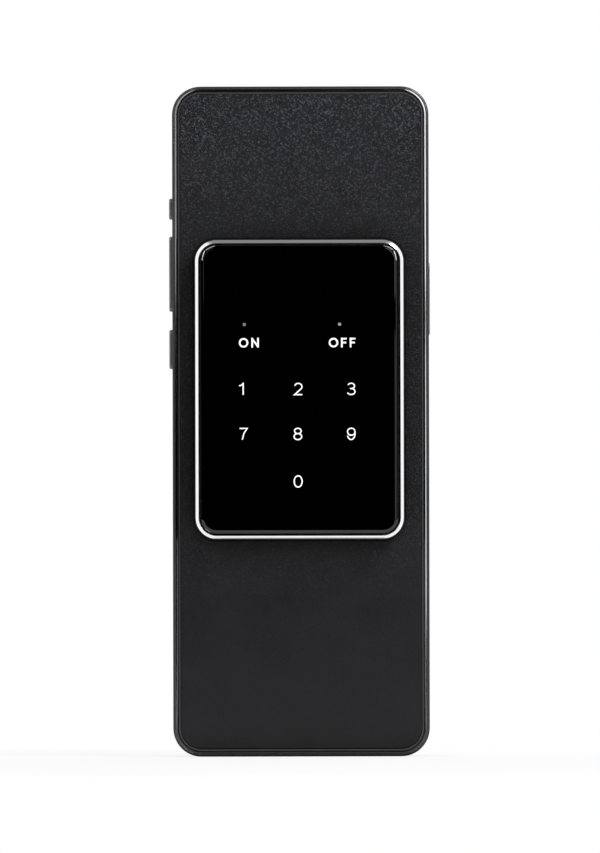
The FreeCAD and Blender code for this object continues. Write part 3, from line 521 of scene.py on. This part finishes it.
# Sizes and depths in millimetres. A glancing value under 1 dulls reflections at a grazing angle.
PLAIN_FINISHES = {
    "frame_metal": dict(
        colour=(0.058, 0.059, 0.062),
        metallic=0.85,
        roughness=0.34,
        grain_size=0.18,
        grain_depth=0.006,
        mottle=0.08,
        roughness_spread=0.06,
        edge=0.25,
        glancing=0.45,
    ),
    "polished_bezel": dict(
        colour=(0.93, 0.93, 0.935),
        metallic=1.0,
        roughness=0.08,
        grain_size=0.5,
        grain_depth=0.001,
        mottle=0.015,
        roughness_spread=0.02,
    ),
    "plate_plastic": dict(
        colour=(0.030, 0.030, 0.032),
        metallic=0.0,
        roughness=0.36,
        grain_size=0.3,
        grain_depth=0.01,
        mottle=0.1,
        roughness_spread=0.06,
    ),
    "cover_plastic": dict(
        colour=(0.028, 0.028, 0.030),
        metallic=0.0,
        roughness=0.52,
        grain_size=0.3,
        grain_depth=0.05,
        mottle=0.12,
        roughness_spread=0.08,
        edge=0.10,
    ),
    "bracket_plastic": dict(
        colour=(0.060, 0.061, 0.064),
        metallic=0.0,
        roughness=0.50,
        grain_size=0.35,
        grain_depth=0.05,
        mottle=0.12,
        roughness_spread=0.08,
        edge=0.12,
    ),
    "housing_plastic": dict(
        colour=(0.006, 0.006, 0.0065),
        metallic=0.0,
        roughness=0.30,
        grain_size=0.3,
        grain_depth=0.006,
        mottle=0.1,
        roughness_spread=0.05,
    ),
    "button_metal": dict(
        colour=(0.17, 0.17, 0.175),
        metallic=0.8,
        roughness=0.36,
        grain_size=0.2,
        grain_depth=0.006,
        mottle=0.08,
        roughness_spread=0.06,
        edge=0.2,
        glancing=0.6,
    ),
    "screw_steel": dict(
        colour=(0.30, 0.29, 0.28),
        metallic=1.0,
        roughness=0.30,
        grain_size=0.12,
        grain_depth=0.01,
        mottle=0.15,
        roughness_spread=0.08,
        edge=0.3,
    ),
    "spring_steel": dict(
        colour=(0.45, 0.44, 0.43),
        metallic=1.0,
        roughness=0.25,
        grain_size=0.1,
        grain_depth=0.005,
    ),
    "shield_steel": dict(
        colour=(0.55, 0.54, 0.52),
        metallic=1.0,
        roughness=0.32,
        grain_size=0.2,
        grain_depth=0.004,
        mottle=0.08,
        roughness_spread=0.06,
        stretch=(1.0, 1.0, 8.0),
    ),
    "socket_steel": dict(
        colour=(0.50, 0.50, 0.50),
        metallic=1.0,
        roughness=0.28,
        grain_size=0.15,
        grain_depth=0.004,
        mottle=0.08,
        roughness_spread=0.06,
        stretch=(8.0, 1.0, 1.0),
    ),
    "socket_plastic": dict(colour=(0.62, 0.58, 0.48), metallic=0.0, roughness=0.45),
    "chip_plastic": dict(
        colour=(0.016, 0.016, 0.017),
        metallic=0.0,
        roughness=0.48,
        grain_size=0.12,
        grain_depth=0.02,
    ),
    "plunger_plastic": dict(
        colour=(0.55, 0.55, 0.53),
        metallic=0.0,
        roughness=0.42,
        grain_size=0.3,
        grain_depth=0.01,
    ),
    "stem_plastic": dict(colour=(0.05, 0.05, 0.05), metallic=0.0, roughness=0.42),
    "seal_rubber": dict(
        colour=(0.012, 0.012, 0.012),
        metallic=0.0,
        roughness=0.75,
        grain_size=0.1,
        grain_depth=0.02,
    ),
    "foam": dict(
        colour=(0.035, 0.035, 0.036),
        metallic=0.0,
        roughness=0.92,
        grain_size=0.35,
        grain_depth=0.15,
        mottle=0.25,
    ),
    "battery_foil": dict(
        colour=(0.42, 0.43, 0.45),
        metallic=0.9,
        roughness=0.34,
        grain_size=1.6,
        grain_depth=0.05,
        mottle=0.06,
        roughness_spread=0.08,
    ),
    "light_guide": dict(
        colour=(0.78, 0.80, 0.82),
        metallic=0.0,
        roughness=0.25,
        grain_size=0.6,
        grain_depth=0.01,
        mottle=0.03,
    ),
    "sensor_film": dict(
        colour=(0.05, 0.045, 0.04),
        metallic=0.0,
        roughness=0.15,
        grain_size=1.2,
        grain_depth=0.003,
    ),
    "led": dict(
        colour=(0.80, 0.74, 0.45),
        metallic=0.0,
        roughness=0.25,
        grain_size=0.2,
        grain_depth=0.01,
        mottle=0.08,
    ),
    "flex": dict(
        colour=(0.42, 0.17, 0.035),
        metallic=0.0,
        roughness=0.38,
        grain_size=0.25,
        grain_depth=0.01,
        mottle=0.1,
        roughness_spread=0.05,
        stretch=(6.0, 1.0, 1.0),
    ),
    "lead_insulation": dict(
        colour=(0.30, 0.02, 0.015),
        metallic=0.0,
        roughness=0.40,
        grain_size=0.15,
        grain_depth=0.01,
    ),
    "sounder_shell": dict(
        colour=(0.020, 0.020, 0.021),
        metallic=0.0,
        roughness=0.42,
        grain_size=0.3,
        grain_depth=0.02,
    ),
}
materials = {name: finish_material(name, **values) for name, values in PLAIN_FINISHES.items()}
materials["polished_trim"] = trim_material()
materials["leatherette"] = leatherette_material()
materials["black_glass"] = glass_material()
materials["circuit_board"] = board_material("circuit_board", (0.010, 0.075, 0.035))
materials["legend_white"] = legend_material("legend_white", (0.86, 0.86, 0.86), 0.12)
materials["dot_left"] = legend_material("dot_left", (0.15, 0.15, 0.15), 0.05)
materials["dot_right"] = legend_material("dot_right", (0.25, 0.25, 0.25), 0.05)

NODE_FINISHES = {
    "frame_metal": ["frame"],
    "polished_trim": ["trim_ring"],
    "plate_plastic": ["front_plate"],
    "leatherette": ["leatherette_skin"],
    "cover_plastic": ["rear_cover"],
    "bracket_plastic": ["wall_bracket"],
    "screw_steel": ["rear_cover_screws", "keypad_screws", "main_board_screws", "charging_board_screws"],
    "housing_plastic": ["keypad_housing"],
    "seal_rubber": ["keypad_seal"],
    "polished_bezel": ["keypad_bezel"],
    "black_glass": ["keypad_glass"],
    "sensor_film": ["touch_sensor"],
    "light_guide": ["light_guide"],
    "circuit_board": [
        "keypad_board",
        "main_board",
        "charging_board",
        "left_switch_board",
        "right_switch_board",
        "antenna",
    ],
    "led": ["backlight_leds", "status_leds"],
    "chip_plastic": ["touch_controller", "processor", "power_chip", "inductor"],
    "socket_plastic": ["keypad_ribbon_sockets", "battery_socket", "charging_ribbon_sockets"],
    "flex": ["keypad_ribbon", "charging_ribbon", "side_flexes"],
    "shield_steel": ["radio_module", "left_switches", "right_switch"],
    "lead_insulation": ["antenna_lead", "sounder_lead", "battery_lead", "tamper_lead"],
    "sounder_shell": ["sounder"],
    "battery_foil": ["battery"],
    "foam": ["battery_pads"],
    "socket_steel": ["charging_socket"],
    "button_metal": ["left_upper_button", "left_middle_button", "left_lower_button", "right_button"],
    "stem_plastic": ["left_upper_stem", "left_middle_stem", "left_lower_stem", "right_stem", "tamper_switch"],
    "plunger_plastic": ["tamper_plunger"],
    "spring_steel": ["tamper_spring"],
}


def dress_nodes():
    for finish, names in NODE_FINISHES.items():
        for name in names:
            slots = nodes[name].data.materials
            if not slots:
                slots.append(materials[finish])
            for index in range(len(slots)):
                slots[index] = materials[finish]


# Detailed pieces that stand for CAD nodes

case = (CASE_WIDTH, CASE_HEIGHT, CASE_RADIUS, (0.0, 0.0))
keypad = (KEYPAD_WIDTH, KEYPAD_HEIGHT, KEYPAD_RADIUS, KEYPAD_MIDDLE)


def stand_for(piece, node):
    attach(piece, "panel")
    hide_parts(node)


def make_skin():
    """Leatherette with its outer edge rolled down and its inner edge pressed in around the keypad."""
    outer = [(SKIN_INSET, SKIN_BACK)] + quarter_turn(SKIN_INSET, SKIN_FRONT, SKIN_OUTER_ROLL)
    outer.append((SKIN_INSET + SKIN_OUTER_FLAT, SKIN_FRONT))
    rolled = quarter_turn(0.0, SKIN_FRONT, SKIN_INNER_ROLL)
    rolled.append((SKIN_INNER_FLAT, SKIN_FRONT))
    inner = [(-SKIN_GAP - inset, depth) for inset, depth in reversed(rolled)]
    inner.append((-SKIN_GAP, SKIN_BACK))
    loops = inset_loops(case, outer) + inset_loops(keypad, inner)
    skin = loft("leatherette_rolled", loops, materials["leatherette"], True, 60.0)
    stand_for(skin, "leatherette_skin")


def make_trim():
    """Trim ring whose front is a polished slope that rises to its inner edge."""
    outer = FRAME_WALL - TRIM_WIDTH
    back = FRAME_FRONT - TRIM_HEIGHT
    profile = [(outer, back), (outer, FRAME_FRONT - TRIM_RISE)]
    for step in range(1, SLOPE_STEPS + 1):
        share = step / SLOPE_STEPS
        profile.append((outer + TRIM_SLOPE * share, FRAME_FRONT - TRIM_RISE * (1 - share) ** 1.5))
    profile += [
        (FRAME_WALL - BROKEN_EDGE, FRAME_FRONT),
        (FRAME_WALL, FRAME_FRONT - BROKEN_EDGE),
        (FRAME_WALL, back),
    ]
    trim = loft("trim_ring_polished", inset_loops(case, profile), materials["polished_trim"], True, 25.0)
    stand_for(trim, "trim_ring")


def make_bezel():
    """Polished ring: a side, a soft shoulder, a slightly crowned slope and a small flat at its inner edge."""
    ledge = BEZEL_FACE + BEZEL_LEDGE
    profile = [
        (0.0, BEZEL_BACK + BROKEN_EDGE),
        (BROKEN_EDGE, BEZEL_BACK),
        (ledge, BEZEL_BACK),
        (ledge, GLASS_BACK),
        (BEZEL_FACE, GLASS_BACK),
        (BEZEL_FACE, BEZEL_FRONT - 0.03),
        (BEZEL_FACE - 0.03, BEZEL_FRONT),
    ]
    for step in range(SLOPE_STEPS + 1):
        share = step / SLOPE_STEPS
        crown = BEZEL_CROWN * math.sin(share * math.pi)
        inset = BEZEL_SLOPE_TOP - share * BEZEL_SLOPE - crown * 0.6
        profile.append((inset, BEZEL_FRONT - share * BEZEL_DROP + crown * 0.7))
    profile += [(0.02, BEZEL_FRONT - 0.86), (0.0, BEZEL_FRONT - 0.95)]
    bezel = loft("keypad_bezel_polished", inset_loops(keypad, profile), materials["polished_bezel"], True, 20.0)
    stand_for(bezel, "keypad_bezel")


def make_glass():
    """Black glass with a polished bevel all round."""
    bevel_start = GLASS_INSET + 0.02
    bevel_low = GLASS_FRONT - GLASS_BEVEL_RISE
    profile = [
        (GLASS_INSET + BROKEN_EDGE, GLASS_BACK),
        (GLASS_INSET, GLASS_BACK + BROKEN_EDGE),
        (GLASS_INSET, GLASS_FRONT - 0.37),
        (bevel_start, bevel_low),
    ]
    for step in range(1, SLOPE_STEPS + 1):
        share = step / SLOPE_STEPS
        rise = GLASS_BEVEL_RISE * (1 - (1 - share) ** 1.25)
        profile.append((bevel_start + GLASS_BEVEL * share, bevel_low + rise))
    profile.append((GLASS_INSET + 1.1, GLASS_FRONT))
    glass = loft("keypad_glass_bevelled", inset_loops(keypad, profile), materials["black_glass"], False, 60.0)
    stand_for(glass, "keypad_glass")


def make_spring():
    """Spring of round wire with a closed turn at each end. It shortens as the plunger goes in."""
    low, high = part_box("tamper_spring")
    middle = (low + high) / 2
    wire = SPRING_WIRE * MM
    radius = (high.x - low.x) / 2 - wire
    length = high.y - low.y - 2 * wire
    steps = SPRING_TURNS * SPRING_STEPS
    side = Vector((0.0, 1.0, 0.0))
    loops = []
    for step in range(steps + 1):
        share = step / steps
        open_share = min(max((share - SPRING_CLOSED) / (1 - 2 * SPRING_CLOSED), 0.0), 1.0)
        closed_share = min(share, SPRING_CLOSED) + max(share - (1 - SPRING_CLOSED), 0.0)
        rise = open_share * (1 - SPRING_CLOSED) + closed_share * 0.5
        angle = share * SPRING_TURNS * 2 * math.pi
        out = Vector((math.cos(angle), 0.0, math.sin(angle)))
        centre = Vector((middle.x, high.y - wire - rise * length, middle.z)) + radius * out
        turns = [corner / SPRING_SIDES * 2 * math.pi for corner in range(SPRING_SIDES)]
        loops.append([centre + wire * (out * math.cos(turn) + side * math.sin(turn)) for turn in turns])
    spring = loft("tamper_spring_wound", loops, materials["spring_steel"], False, 60.0)
    stand_for(spring, "tamper_spring")
    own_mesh(spring)


# Legends: strokes of one width, joined into a solid for each sign


def arc(centre_x, centre_z, radius_x, radius_z, start, end, steps=20):
    """Points of an arc, with angles in degrees."""
    points = []
    for step in range(steps + 1):
        angle = math.radians(start + (end - start) * step / steps)
        points.append((centre_x + radius_x * math.cos(angle), centre_z + radius_z * math.sin(angle)))
    return points


# Each sign's strokes, as points in shares of its height round its middle, and whether each one closes.
SIGNS = {
    "1": [([(-0.24, 0.29), (-0.04, 0.34), (0.12, 0.5), (0.12, -0.5)], False)],
    "2": [(arc(0.0, 0.20, 0.32, 0.30, 165, -40) + [(-0.33, -0.5), (0.35, -0.5)], False)],
    "3": [
        (arc(0.0, 0.265, 0.29, 0.235, 160, -90) + [(-0.10, 0.03)], False),
        (arc(0.0, -0.235, 0.34, 0.265, 90, -160), False),
    ],
    "7": [([(-0.33, 0.5), (0.33, 0.5), (0.05, 0.08), (-0.10, -0.5)], False)],
    "8": [
        (arc(0.0, 0.265, 0.29, 0.235, 0, 360, 32), True),
        (arc(0.0, -0.235, 0.34, 0.265, 0, 360, 32), True),
    ],
    "9": [
        (arc(0.0, 0.19, 0.33, 0.31, 0, 360, 36), True),
        (arc(-0.01, 0.0, 0.34, 0.5, 22, -160, 30), False),
    ],
    "0": [(arc(0.0, 0.0, 0.35, 0.5, 0, 360, 40), True)],
    "O": [(arc(0.0, 0.0, 0.50, 0.5, 0, 360, 40), True)],
    "N": [
        ([(-0.37, -0.62), (-0.37, 0.62)], False),
        ([(0.37, -0.62), (0.37, 0.62)], False),
        ([(-0.37, 0.5), (0.37, -0.5)], False),
    ],
    "F": [
        ([(-0.28, -0.62), (-0.28, 0.62)], False),
        ([(-0.28, 0.5), (0.34, 0.5)], False),
        ([(-0.28, 0.0), (0.28, 0.0)], False),
    ],
}
LEAST_MITRE = 0.35


def stroke_mesh(points, width, closed):
    """Bar of one width along points in the sign's plane, as a closed solid."""
    line = [Vector(p) for p in points]
    if closed:
        line = line[:-1]
    count = len(line)
    rows = []
    for index, here in enumerate(line):
        before = line[index - 1] if closed or index > 0 else None
        after = line[(index + 1) % count] if closed or index < count - 1 else None
        into = (here - before).normalized() if before is not None else (after - here).normalized()
        out = (after - here).normalized() if after is not None else into
        normal_in = Vector((-into.y, into.x))
        normal_out = Vector((-out.y, out.x))
        middle = (normal_in + normal_out).normalized()
        reach = width / 2 / max(middle.dot(normal_in), LEAST_MITRE)
        left = here + middle * reach
        right = here - middle * reach
        row = [point(left.x, left.y, LEGEND_FRONT), point(right.x, right.y, LEGEND_FRONT)]
        row += [point(right.x, right.y, LEGEND_BACK), point(left.x, left.y, LEGEND_BACK)]
        rows.append(row)
    return solid_mesh("stroke", rows, closed)


def join_strokes(meshes):
    """One solid from overlapping strokes."""
    helpers = [add_object("stroke", mesh) for mesh in meshes]
    base = helpers[0]
    for helper in helpers[1:]:
        union = base.modifiers.new("union", "BOOLEAN")
        union.operation = "UNION"
        union.solver = "EXACT"
        union.object = helper
    graph = bpy.context.evaluated_depsgraph_get()
    joined = bpy.data.meshes.new_from_object(base.evaluated_get(graph))
    for helper in helpers:
        bpy.data.objects.remove(helper)
    shape = bmesh.new()
    shape.from_mesh(joined)
    bmesh.ops.remove_doubles(shape, verts=shape.verts, dist=MERGE_DISTANCE * MM)
    shape.to_mesh(joined)
    shape.free()
    return joined


def make_sign(name, sign, height, width, x, z):
    """Solid sign on the glass. Its height is measured over its strokes."""
    scale = height - width
    meshes = []
    for points, closed in SIGNS[sign]:
        placed = [(x + px * scale, z + pz * scale) for px, pz in points]
        meshes.append(stroke_mesh(placed, width, closed))
    mesh = join_strokes(meshes) if len(meshes) > 1 else meshes[0]
    piece = add_piece(name, mesh, materials["legend_white"], 30.0)
    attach(piece, "panel")


DIGIT_PLACES = {
    "1": (-17.45, 9.6),
    "2": (-0.75, 9.6),
    "3": (14.9, 9.6),
    "7": (-17.0, -3.7),
    "8": (-0.9, -3.7),
    "9": (14.9, -3.7),
    "0": (-0.85, -17.75),
}
WORD_MIDDLES = {"ON": -15.3, "OFF": 12.3}
ADVANCE = {"O": 3.6, "N": 3.2, "F": 2.6}
DOT_MIDDLES = {"left": -16.7, "right": 11.5}


def make_digits():
    for digit, (x, z) in DIGIT_PLACES.items():
        make_sign("digit_" + digit, digit, DIGIT_HEIGHT, DIGIT_STROKE, x, z)


def make_words():
    for word, middle in WORD_MIDDLES.items():
        start = middle - sum(ADVANCE[letter] for letter in word) / 2
        for number, letter in enumerate(word):
            name = f"word_{word.lower()}_{number + 1}"
            x = start + ADVANCE[letter] / 2
            make_sign(name, letter, LETTER_HEIGHT, LETTER_STROKE, x, WORD_Z)
            start += ADVANCE[letter]


def make_dots():
    """Small round lights under the glass, with a low crown."""
    profile = [
        (0.0, LEGEND_BACK),
        (0.0, LEGEND_FRONT - 0.015),
        (0.12, LEGEND_FRONT - 0.003),
        (0.3, LEGEND_FRONT),
    ]
    steps = 8
    for place, x in DOT_MIDDLES.items():
        loops = []
        for inset, depth in profile:
            width = DOT_WIDTH - 2 * inset
            loop = rounded_loop(width, width, DOT_WIDTH / 2 - inset, depth, (x, DOT_Z), steps)
            del loop[steps :: steps + 1]
            loops.append(loop)
        dot = loft("status_dot_" + place, loops, materials["dot_" + place], False, 60.0)
        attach(dot, "panel")


# Floor, lamps, world and camera. From here on lengths are in metres, unless they say otherwise.

FLOOR_HALF = 9.0
FLOOR_FRONT = 0.45  # where the floor ends, in front of the case
SHADE_MIDDLE = (0.0, -0.15, 0.0)  # where the floor's painted shade is darkest


def make_floor():
    """Pale floor that shows white to the eye, with painted shade that darkens it a little near the case and
    much more as mirrored by the case, and keeps its shadow.
    """
    shape = bmesh.new()
    bmesh.ops.create_grid(shape, x_segments=8, y_segments=8, size=FLOOR_HALF)
    bmesh.ops.translate(shape, verts=shape.verts, vec=(0.0, FLOOR_HALF - FLOOR_FRONT, 0.0))
    mesh = bpy.data.meshes.new("floor")
    shape.to_mesh(mesh)
    shape.free()
    material = bpy.data.materials.new("floor")
    material.use_nodes = True
    tree = material.node_tree
    tree.nodes.clear()
    vector = object_coordinates(tree)
    paper = spread(tree, noise(tree, vector, 40.0), 0.0, 1.0)
    diffuse = tree.nodes.new("ShaderNodeBsdfDiffuse")
    link(tree, mix_colours(tree, paper, (0.86, 0.86, 0.86), (0.89, 0.89, 0.89)), diffuse.inputs["Color"])

    # Painted shade: the floor's glow is dimmed near the case and in the corner at its foot, far more for
    # mirrored rays.
    reach = combine(tree, "DISTANCE", vector, SHADE_MIDDLE, "Value")
    mirrored = tree.nodes.new("ShaderNodeLightPath").outputs["Is Glossy Ray"]
    # depth is how deep the painted contact shade goes: shallow for the eye, deep for mirrored rays.
    depth = spread(tree, mirrored, 0.06, 0.96, 0.0, 1.0)
    painted_contact_shade = spread(tree, openness(tree, 26.0), -1.0, 0.0, 0.55, 0.88)
    shade = calculate(tree, "MULTIPLY_ADD", depth, painted_contact_shade, spread(tree, reach, 0.925, 1.0, 0.09, 0.35))
    glow = tree.nodes.new("ShaderNodeEmission")
    link(tree, shade, glow.inputs["Strength"])
    share = calculate(tree, "MULTIPLY", seen_rays(tree), spread(tree, reach, 0.92, 1.0, 0.20, 0.6))
    output = tree.nodes.new("ShaderNodeOutputMaterial")
    link(tree, mix_shaders(tree, share, diffuse, glow), output.inputs["Surface"])
    mesh.materials.append(material)
    floor = add_object("floor", mesh)
    floor.location.z = -CASE_HEIGHT / 2 * MM


def make_world():
    """White studio with a dark front and a darker ceiling, as the polished ring shows it."""
    world = bpy.data.worlds.new("studio")
    bpy.context.scene.world = world
    world.use_nodes = True
    tree = world.node_tree
    tree.nodes.clear()
    direction = tree.nodes.new("ShaderNodeTexCoord").outputs["Generated"]
    upward = spread(tree, component(tree, direction, "Z"), 0.0, 1.0, -1.0, 1.0)
    inward = spread(tree, component(tree, direction, "Y"), 0.0, 1.0, -1.0, 1.0)
    behind = ramp(tree, inward, (0.0, 1.0), [(0.27, 0.0), (0.33, 1.0)])
    ceiling = ramp(tree, upward, (1.0, 0.25), [(0.93, 1.0), (0.975, 0.25)])
    dimmed = tree.nodes.new("ShaderNodeMix")
    dimmed.data_type = "RGBA"
    dimmed.blend_type = "MULTIPLY"
    dimmed.inputs[0].default_value = 1.0
    link(tree, behind, dimmed.inputs[6])
    link(tree, ceiling, dimmed.inputs[7])
    room = tree.nodes.new("ShaderNodeBackground")
    link(tree, dimmed.outputs[2], room.inputs["Color"])
    white = tree.nodes.new("ShaderNodeBackground")
    white.inputs["Color"].default_value = (1.0, 1.0, 1.0, 1.0)
    seen = tree.nodes.new("ShaderNodeLightPath").outputs["Is Camera Ray"]
    output = tree.nodes.new("ShaderNodeOutputWorld")
    link(tree, mix_shaders(tree, seen, room, white), output.inputs["Surface"])


CASE_MIDDLE = (0.0, 0.0, 0.0)
CASE_TOP = (0.0, 0.0, 0.1)

# Name, place, target, watts, width, height, and roll in degrees. The cards are faint, for one reflection each.
LAMPS = (
    ("key", (0.44, -0.32, 0.62), CASE_MIDDLE, 6.0, 0.36, 0.30, 0.0),
    ("strip_left", (-0.46, -0.48, 0.29), CASE_TOP, 0.95, 0.04, 0.42, 0.0),
    ("strip_right", (0.46, -0.48, 0.24), CASE_TOP, 0.9, 0.04, 0.32, 0.0),
    ("corner_left", (-0.25, -0.50, 0.55), CASE_TOP, 0.4, 0.36, 0.05, 38.0),
    ("corner_right", (0.25, -0.50, 0.55), CASE_TOP, 0.3, 0.36, 0.05, -38.0),
    ("side_card", (0.44, -0.48, 0.08), CASE_TOP, 0.06, 0.10, 0.34, 0.0),
    ("trim_card_left", (-0.17, -0.60, 0.23), CASE_TOP, 0.11, 0.16, 0.38, 0.0),
    ("trim_card_right", (0.17, -0.60, 0.23), CASE_TOP, 0.38, 0.16, 0.38, 0.0),
    ("trim_card_low", (0.17, -0.60, -0.02), CASE_MIDDLE, 0.06, 0.16, 0.10, 0.0),
    ("back_fill", (0.0, 1.1, 0.7), CASE_MIDDLE, 6.0, 0.8, 0.8, 0.0),
)


def make_lamps():
    for name, place, target, watts, width, height, roll in LAMPS:
        data = bpy.data.lights.new(name, "AREA")
        data.shape = "RECTANGLE"
        data.size = width
        data.size_y = height
        data.energy = watts
        away = Vector(place) - Vector(target)
        turn = away.to_track_quat("Z", "Y").to_matrix().to_4x4()
        rolled = Matrix.Rotation(math.radians(roll), 4, "Z")
        add_object(name, data).matrix_world = Matrix.Translation(place) @ turn @ rolled


PIXEL = 0.2962 * MM  # size of the photograph's pixel at the skin
PHOTO_HEIGHT = 853
CAMERA_DISTANCE = 5.0
CAMERA_OFFSET = (-0.9, -5.05)  # from the middle of the case, in pixels
CAMERA_ROLL = -0.13


def make_camera():
    """Long lens, square to the front, a little off the middle of the case as in the photograph."""
    data = bpy.data.cameras.new("camera")
    data.sensor_width = 36.0
    data.lens = data.sensor_width * (CAMERA_DISTANCE - SKIN_FRONT * MM) / (PHOTO_HEIGHT * PIXEL)
    data.clip_start = 0.1
    data.clip_end = 40.0
    camera = add_object("camera", data)
    across, up = CAMERA_OFFSET
    place = Matrix.Translation((across * PIXEL, -CAMERA_DISTANCE, up * PIXEL))
    facing = Matrix.Rotation(math.pi / 2, 4, "X")
    camera.matrix_world = place @ facing @ Matrix.Rotation(math.radians(CAMERA_ROLL), 4, "Z")
    bpy.context.scene.camera = camera


dress_nodes()
make_skin()
make_trim()
make_bezel()
make_glass()
make_spring()
make_digits()
make_words()
make_dots()
make_floor()
make_world()
make_lamps()
make_camera()
bpy.context.scene.view_settings.view_transform = "Standard"
